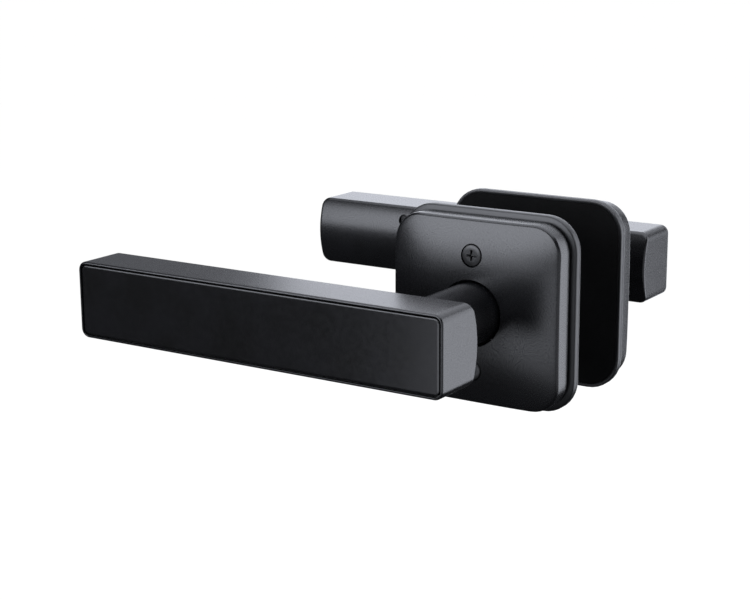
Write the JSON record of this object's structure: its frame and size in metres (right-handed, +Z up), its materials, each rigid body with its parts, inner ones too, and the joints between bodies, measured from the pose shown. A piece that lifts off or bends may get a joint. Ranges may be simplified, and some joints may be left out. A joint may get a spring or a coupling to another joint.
{
  "type": "keypad smart lock",
  "caption": "Black lever-handle smart lock for both sides of a door: square roses, box levers with gloss inset panels, hidden touch keypad outdoors.",
  "frame": {"origin": "on the spindle axis, in the plane of the indoor door face", "axes": "+Y along the spindle from indoors to outdoors, +Z up, +X away from the lever tips, so both levers point to -X"},
  "size_m": [0.1661, 0.1732, 0.0698],
  "materials": {
    "cast_black": "satin black powder coat on die-cast zinc",
    "plate_black": "satin black powder coat on pressed steel",
    "gloss_black": "polished black acrylic",
    "foam": "closed-cell foam, matt",
    "bolt_black": "black oxide steel",
    "nylon": "natural acetal",
    "spring_steel": "drawn spring wire",
    "steel": "zinc-plated steel",
    "dark_steel": "phosphated steel",
    "tray_plastic": "moulded ABS, fine texture",
    "cell_wrap": "printed sleeve, plain",
    "contact": "nickel-gold flash on spring brass",
    "board": "solder mask, semi-gloss",
    "cable": "silicone sleeve",
    "light_guide": "frosted acrylic",
    "led": "LED package",
    "symbol": "grey print under clear coat",
    "motor_can": "drawn can",
    "brass": "turned"
  },
  "bodies": {
    "door_set": {"indoor_rose_cover": "cast_black", "indoor_base_plate": "plate_black", "indoor_gasket": "foam", "indoor_bearing": "nylon", "indoor_return_spring": "spring_steel", "through_bolts": "bolt_black", "outdoor_rose_cover": "cast_black", "outdoor_base_plate": "plate_black", "outdoor_gasket": "foam", "outdoor_bearing": "nylon", "outdoor_return_spring": "spring_steel", "bolt_posts": "steel"},
    "indoor_lever": {"indoor_lever": "cast_black", "indoor_stop_cam": "steel", "indoor_circlip": "dark_steel", "spindle_set_screw": "dark_steel", "spindle": "steel", "clutch_hub": "steel", "battery_tray": "tray_plastic", "tray_screws": "steel", "batteries": "cell_wrap", "battery_contacts": "contact", "controller_board": "board", "board_screws": "steel", "link_cable": "cable"},
    "battery_cover": {"battery_cover": "gloss_black"},
    "outdoor_lever": {"outdoor_lever": "cast_black", "outdoor_stop_cam": "steel", "outdoor_circlip": "dark_steel", "outdoor_chassis": "tray_plastic", "chassis_screw": "bolt_black", "keypad_board": "board", "keypad_leds": "led", "keypad_light_guide": "light_guide", "keypad_panel": "gloss_black", "keypad_symbols": "symbol", "clutch_motor": "motor_can", "motor_leads": "cable"},
    "clutch_pin": {"clutch_pin": "steel"},
    "clutch_screw": {"clutch_screw": "brass"}
  },
  "joints": [
    {"name": "indoor_lever_turn", "type": "hinge", "parent": "door_set", "child": "indoor_lever", "pos_m": [0, 0, 0], "axis": [0, -1, 0], "range_deg": [0, 50], "stiffness_Nm_per_rad": 1.2, "springref_deg": -34.38, "deforming": ["indoor_return_spring"]},
    {"name": "outdoor_lever_turn", "type": "hinge", "parent": "door_set", "child": "outdoor_lever", "pos_m": [0, 0.032, 0], "axis": [0, -1, 0], "range_deg": [0, 50], "stiffness_Nm_per_rad": 1.2, "springref_deg": -34.38, "deforming": ["outdoor_return_spring"]},
    {"name": "battery_cover_lift", "type": "slide", "parent": "indoor_lever", "child": "battery_cover", "axis": [0, -1, 0], "range_m": [0, 0.015]},
    {"name": "clutch_pin_slide", "type": "slide", "parent": "outdoor_lever", "child": "clutch_pin", "axis": [0, 1, 0], "range_m": [0, 0.0035]},
    {"name": "clutch_screw_turn", "type": "hinge", "parent": "outdoor_lever", "child": "clutch_screw", "pos_m": [0, 0.067, 0.0052], "axis": [0, 1, 0], "range_deg": [0, 361]}
  ],
  "couplings": [
    {"joint": "outdoor_lever_turn", "follows": "indoor_lever_turn", "ratio": 1},
    {"joint": "clutch_screw_turn", "follows": "clutch_pin_slide", "rad_per_m": 1795.2}
  ]
}
